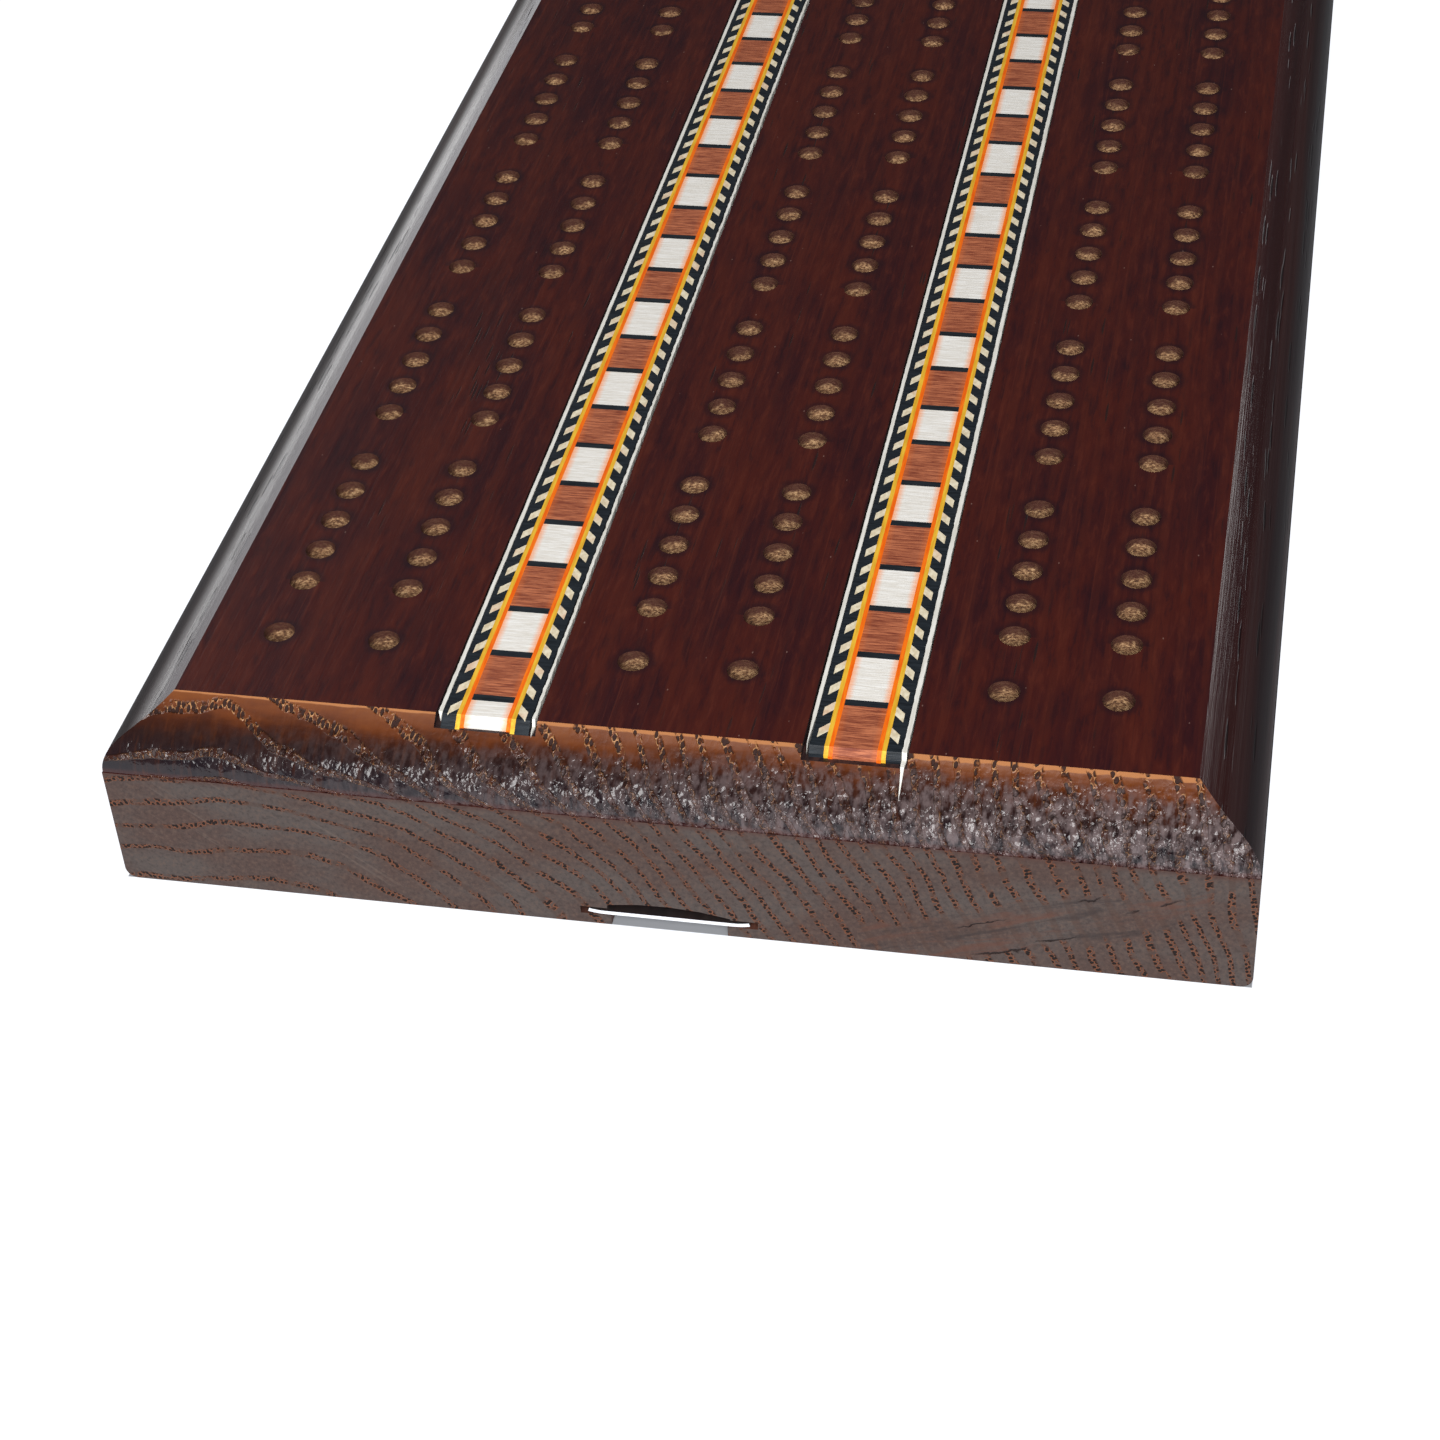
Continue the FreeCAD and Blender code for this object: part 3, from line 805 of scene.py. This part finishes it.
# ==============================================================================
# torn white lines and splinters
# ==============================================================================
class Surface:
    """Height of the board's upper surface, grooves included, over any point of it."""

    def __init__(self):
        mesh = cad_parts["board"].data
        faces = [face.vertices for face in mesh.polygons]
        self.tree = BVHTree.FromPolygons([v.co for v in mesh.vertices], faces)

    def height(self, x, y):
        """Where a ray straight down meets the board."""
        hit = self.tree.ray_cast(Vector((x, y, TOP + MM)), Vector((0, 0, -1)))[0]
        return hit.z


def sliver(surface, stations):
    """Mesh data of a flat strip of wood through (y, low x, high x) stations along it.

    Its top is level with the board where there is board, and lies on the moulding beyond.
    """
    vertices, faces = [], []
    for y, low_x, high_x in stations:
        beyond = abs(y) > FLAT_Y
        ground = surface.height((low_x + high_x) / 2, y)
        top = min(TOP, ground + SLIVER) if beyond else TOP
        bottom = ground if beyond else STRIP_FLOOR
        vertices += [(low_x, y, bottom), (low_x, y, top), (high_x, y, top), (high_x, y, bottom)]
    for i in range(len(stations) - 1):
        a, b = 4 * i, 4 * i + 4
        faces += [(a + j, a + (j + 1) % 4, b + (j + 1) % 4, b + j) for j in range(4)]
    last = 4 * (len(stations) - 1)
    faces += [(3, 2, 1, 0), (last, last + 1, last + 2, last + 3)]
    return vertices, faces


def torn_edge(x, y, layer):
    """How far an edge is torn sideways at a point, about -1 to 1."""
    return noise.fractal(Vector((x * TEAR_ACROSS, y * TEAR_ALONG, layer)), 1.0, 2.0, TEAR_OCTAVES)


def torn_line(surface, x, width, wander, near_reach, far_reach, point):
    """A white line with wandering edges that tapers to a point at its near end."""
    stations = []
    start, end = -FLAT_Y - near_reach, FLAT_Y + far_reach
    count = int((end - start) / TEAR_STEP)
    for i in range(count + 1):
        y = start + (end - start) * i / count
        taper = min(1.0, (y - start + BLUNT) / point)
        half = width / 2 * taper
        low_tear, high_tear = [wander * torn_edge(x, y, layer) for layer in EDGE_LAYERS]
        drift = noise.noise(Vector((x * TEAR_ACROSS, y * DRIFT_ALONG, DRIFT_LAYER)))
        middle = x + wander * DRIFT * drift
        stations.append((y, middle - half + low_tear * taper, middle + half + high_tear * taper))
    return sliver(surface, stations)


def build_piece(name, parts, material):
    """One mesh object from several (vertices, faces) parts, riding on the board."""
    vertices, faces = [], []
    for more_vertices, more_faces in parts:
        base = len(vertices)
        vertices += more_vertices
        faces += [tuple(base + i for i in face) for face in more_faces]
    mesh = bpy.data.meshes.new(name)
    mesh.from_pydata(vertices, [], faces)
    mesh.materials.append(material)
    piece = bpy.data.objects.new(name, mesh)
    bpy.context.scene.collection.objects.link(piece)
    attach(piece, "board")
    return piece


def torn_white_lines(material):
    """Replaces the straight white lines with torn ones that end as they do on the real strip."""
    surface = Surface()
    for side, lines in WHITE_LINES.items():
        low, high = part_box(f"{side}_inlay_white_lines")
        middles = (low.x + WHITE_WIDTH / 2, high.x - WHITE_WIDTH / 2)
        parts = [
            torn_line(surface, x, *[value * MM for value in line])
            for x, line in zip(middles, lines)
        ]
        piece = build_piece(f"{side}_torn_white_lines", parts, material)
        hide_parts(f"{side}_inlay_white_lines")


# ==============================================================================
# metal
# ==============================================================================
def drawn_metal(name, colour, roughness, stretch, metallic=1.0):
    """Metal with fine marks drawn out along one axis."""
    n = Nodes(name)
    place = n.place()
    marks = n.noise(place, stretch, 4.0, 0.7)
    smudge = n.noise(place, 0.12, 3.0, 0.6)
    n.set("Base Color", n.paint(colour, rgb(120, 118, 116), smudge, 0.35))
    n.set("Metallic", metallic)
    n.set("Roughness", n.add_up(roughness, n.times(marks, 0.18)))
    n.bump(marks, 0.01)
    return n.material


def dress_metal():
    """Give the cover a bright plate whose sheared ends are painted near-white as a painted
    reflection of the white floor, and the pegs their finishes.
    """
    use("slide_cover", drawn_metal("cover_plate", rgb(196, 200, 206), 0.22, ROLLED_ALONG))
    # painted reflection: the plate's end faces are painted near-white, standing in for the white
    # floor they reflect
    painted_reflection_edge = drawn_metal("cover_painted_reflection_edge", rgb(246, 248, 252), 0.45, ROLLED_ALONG, 0.4)
    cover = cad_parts["slide_cover"].data
    cover.materials.append(painted_reflection_edge)
    for face in cover.polygons:
        face.material_index = int(abs(face.normal.y) > ENDWAYS)
    finishes = {
        "brass": drawn_metal("peg_brass", rgb(206, 164, 92), 0.2, TURNED_ROUND),
        "steel": drawn_metal("peg_steel", rgb(196, 198, 200), 0.2, TURNED_ROUND),
        "black": drawn_metal("peg_black", rgb(34, 34, 38), 0.32, TURNED_ROUND, 0.6),
    }
    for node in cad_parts:
        finish, _, number = node.partition("_peg_")
        if number:
            use(node, finishes[finish])


# ==============================================================================
# studio
# ==============================================================================
def direction(azimuth, elevation):
    """Unit vector out from the board; azimuth is in degrees from the near end to the right."""
    a, e = math.radians(azimuth), math.radians(elevation)
    return Vector((math.sin(a) * math.cos(e), -math.cos(a) * math.cos(e), math.sin(e)))


def aim_camera():
    """The scene's camera, looking down at the near end, slightly rolled."""
    back = direction(CAMERA_AZIMUTH, CAMERA_ELEVATION)
    data = bpy.data.cameras.new("camera")
    data.lens = CAMERA_LENS
    data.sensor_width = CAMERA_SENSOR
    data.clip_start = CAMERA_CLIP
    camera = bpy.data.objects.new("camera", data)
    bpy.context.scene.collection.objects.link(camera)
    turn = (-back).to_track_quat("-Z", "Y").to_matrix().to_4x4()
    roll = Matrix.Rotation(math.radians(CAMERA_ROLL), 4, "Z")
    camera.matrix_world = Matrix.Translation(AIM + back * CAMERA_DISTANCE) @ turn @ roll
    bpy.context.scene.camera = camera


def white_sheet():
    """Glowing white, dim in the board's shadow, and seen from above only."""
    n = Nodes("studio_floor")
    place = n.place()
    x, y, _ = n.split(place)
    outside = n.math(
        "MAXIMUM",
        n.less(n.size(x), HALF_WIDTH / MM),
        n.less(n.size(y), HALF_LENGTH / MM),
    )
    shade = n.times(n.smooth(outside, *SHADE_START), n.smooth(outside, *SHADE_END))
    n.set("Base Color", n.mix(n.noise(place, 0.002), rgb(110, 112, 116), rgb(118, 119, 122)))
    n.set("Roughness", 0.85)
    n.set("Emission Color", rgb(248, 250, 255))
    n.set("Emission Strength", n.add_up(FLOOR_GLOW, n.times(shade, SHADE_GLOW - FLOOR_GLOW)))
    n.set("Alpha", n.invert(n.add("ShaderNodeNewGeometry").outputs["Backfacing"]))
    return n.material


def floor():
    """A large white sheet under the board."""
    quadrants = ((-1, -1), (1, -1), (1, 1), (-1, 1))
    corners = [(x * FLOOR_HALF, y * FLOOR_HALF, 0.0) for x, y in quadrants]
    mesh = bpy.data.meshes.new("studio_floor")
    mesh.from_pydata(corners, [], [(0, 1, 2, 3)])
    mesh.materials.append(white_sheet())
    sheet = bpy.data.objects.new("studio_floor", mesh)
    sheet.location.z = LOW.z - FLOOR_GAP
    bpy.context.scene.collection.objects.link(sheet)


def area_light(name, azimuth, elevation, distance, size, power):
    """A square soft light aimed at the middle of the near half of the board."""
    target = Vector((0.0, NEAR_END / 2, TOP))
    towards = direction(azimuth, elevation)
    data = bpy.data.lights.new(name, "AREA")
    data.energy = power
    data.size = size
    light = bpy.data.objects.new(name, data)
    light.location = target + towards * distance
    light.rotation_euler = (-towards).to_track_quat("-Z", "Y").to_euler()
    bpy.context.scene.collection.objects.link(light)


def studio():
    """Soft cool surroundings, a key light in front and two low lights behind."""
    world = bpy.data.worlds.new("studio")
    world.use_nodes = True
    background = world.node_tree.nodes["Background"]
    background.inputs["Color"].default_value = WORLD_COLOUR
    background.inputs["Strength"].default_value = WORLD_STRENGTH
    bpy.context.scene.world = world
    for name, settings in LIGHTS.items():
        area_light(name, *settings)
    bpy.context.scene.view_settings.view_transform = "Standard"


dress_board()
dress_strips()
dress_metal()
aim_camera()
floor()
studio()
